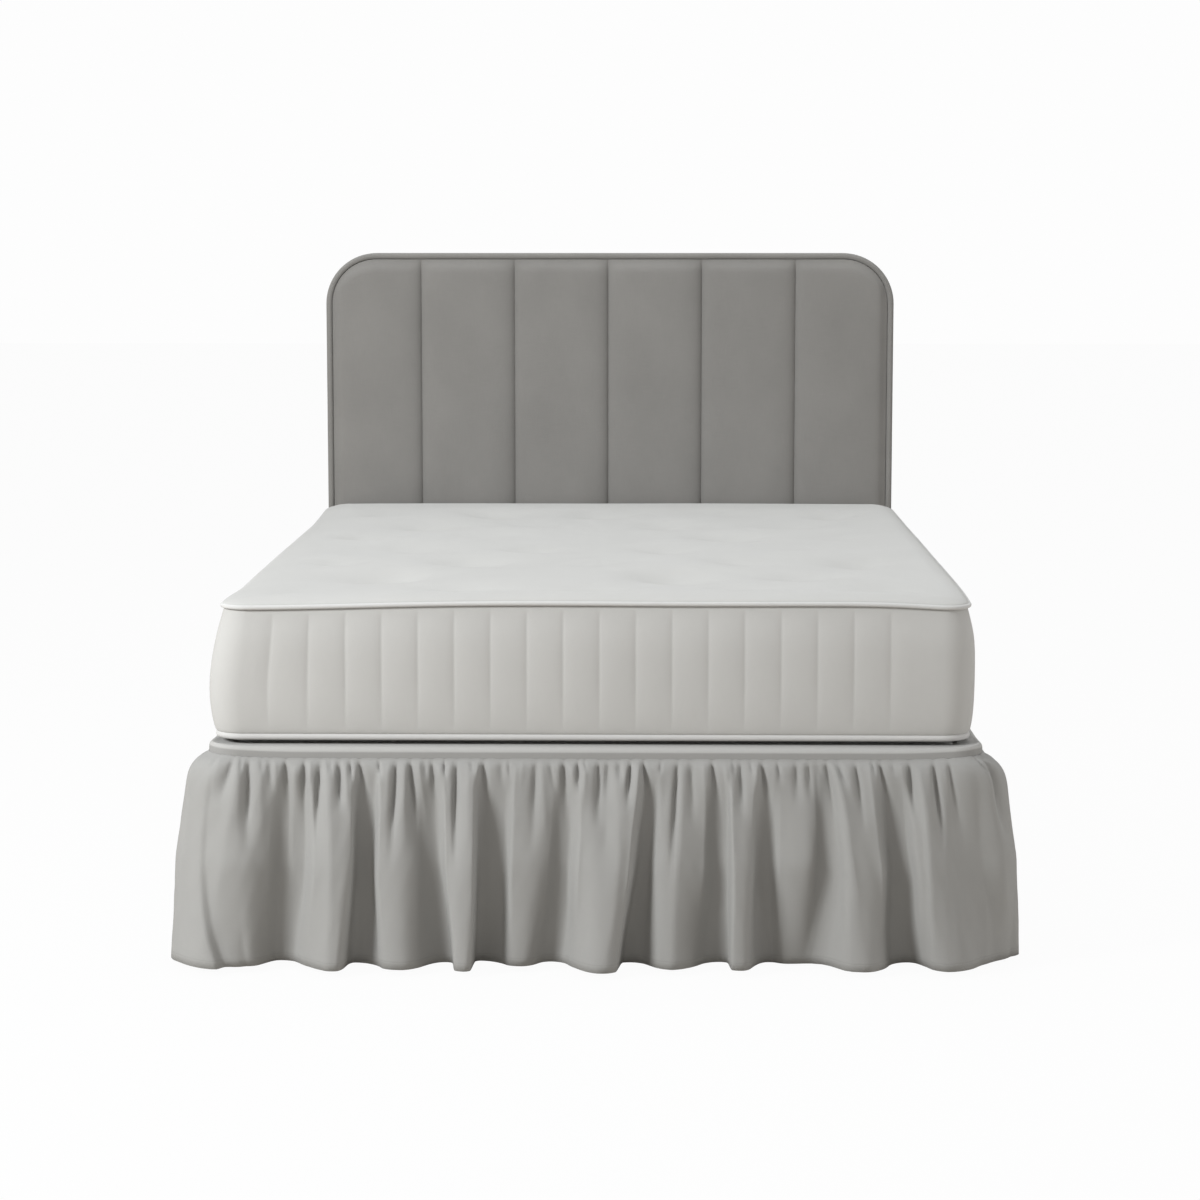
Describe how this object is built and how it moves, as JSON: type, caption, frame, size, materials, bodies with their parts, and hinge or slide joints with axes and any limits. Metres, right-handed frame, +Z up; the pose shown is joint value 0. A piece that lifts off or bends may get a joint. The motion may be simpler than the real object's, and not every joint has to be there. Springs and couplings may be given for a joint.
{
  "type": "bed skirt on bed",
  "caption": "Gathered bed skirt hanging in uneven folds from a narrow band round three sides of a double bed, with its mattress and channelled headboard.",
  "frame": {"origin": "on the floor under the middle of the bed's outline, at the bottom centre of the bounding box", "axes": "+Z up, +Y towards the headboard, +X to the right as seen from the foot of the bed"},
  "size_m": [1.57, 2.0906, 1.29],
  "materials": {
    "skirt_cloth": "matt warm-grey plain-weave cotton blend",
    "deck_cloth": "thin plain lining-weight platform cloth",
    "mattress_cloth": "off-white knitted ticking, channelled at the border",
    "piping_cloth": "off-white woven tape over cord",
    "headboard_cloth": "warm grey short-pile upholstery fabric",
    "base_cloth": "plain grey upholstery fabric",
    "leg_wood": "dark stained turned wood, satin"
  },
  "bodies": {
    "root": {"skirt_ruffle": "skirt_cloth", "skirt_band": "skirt_cloth", "skirt_deck": "deck_cloth", "base": "base_cloth", "mattress": "mattress_cloth", "mattress_piping_lower": "piping_cloth", "mattress_piping_upper": "piping_cloth", "headboard_panel": "headboard_cloth", "headboard_pad": "headboard_cloth", "headboard_roll": "headboard_cloth", "leg_foot_left": "leg_wood", "leg_foot_right": "leg_wood", "leg_middle_left": "leg_wood", "leg_middle_right": "leg_wood", "leg_head_left": "leg_wood", "leg_head_right": "leg_wood"}
  },
  "joints": []
}
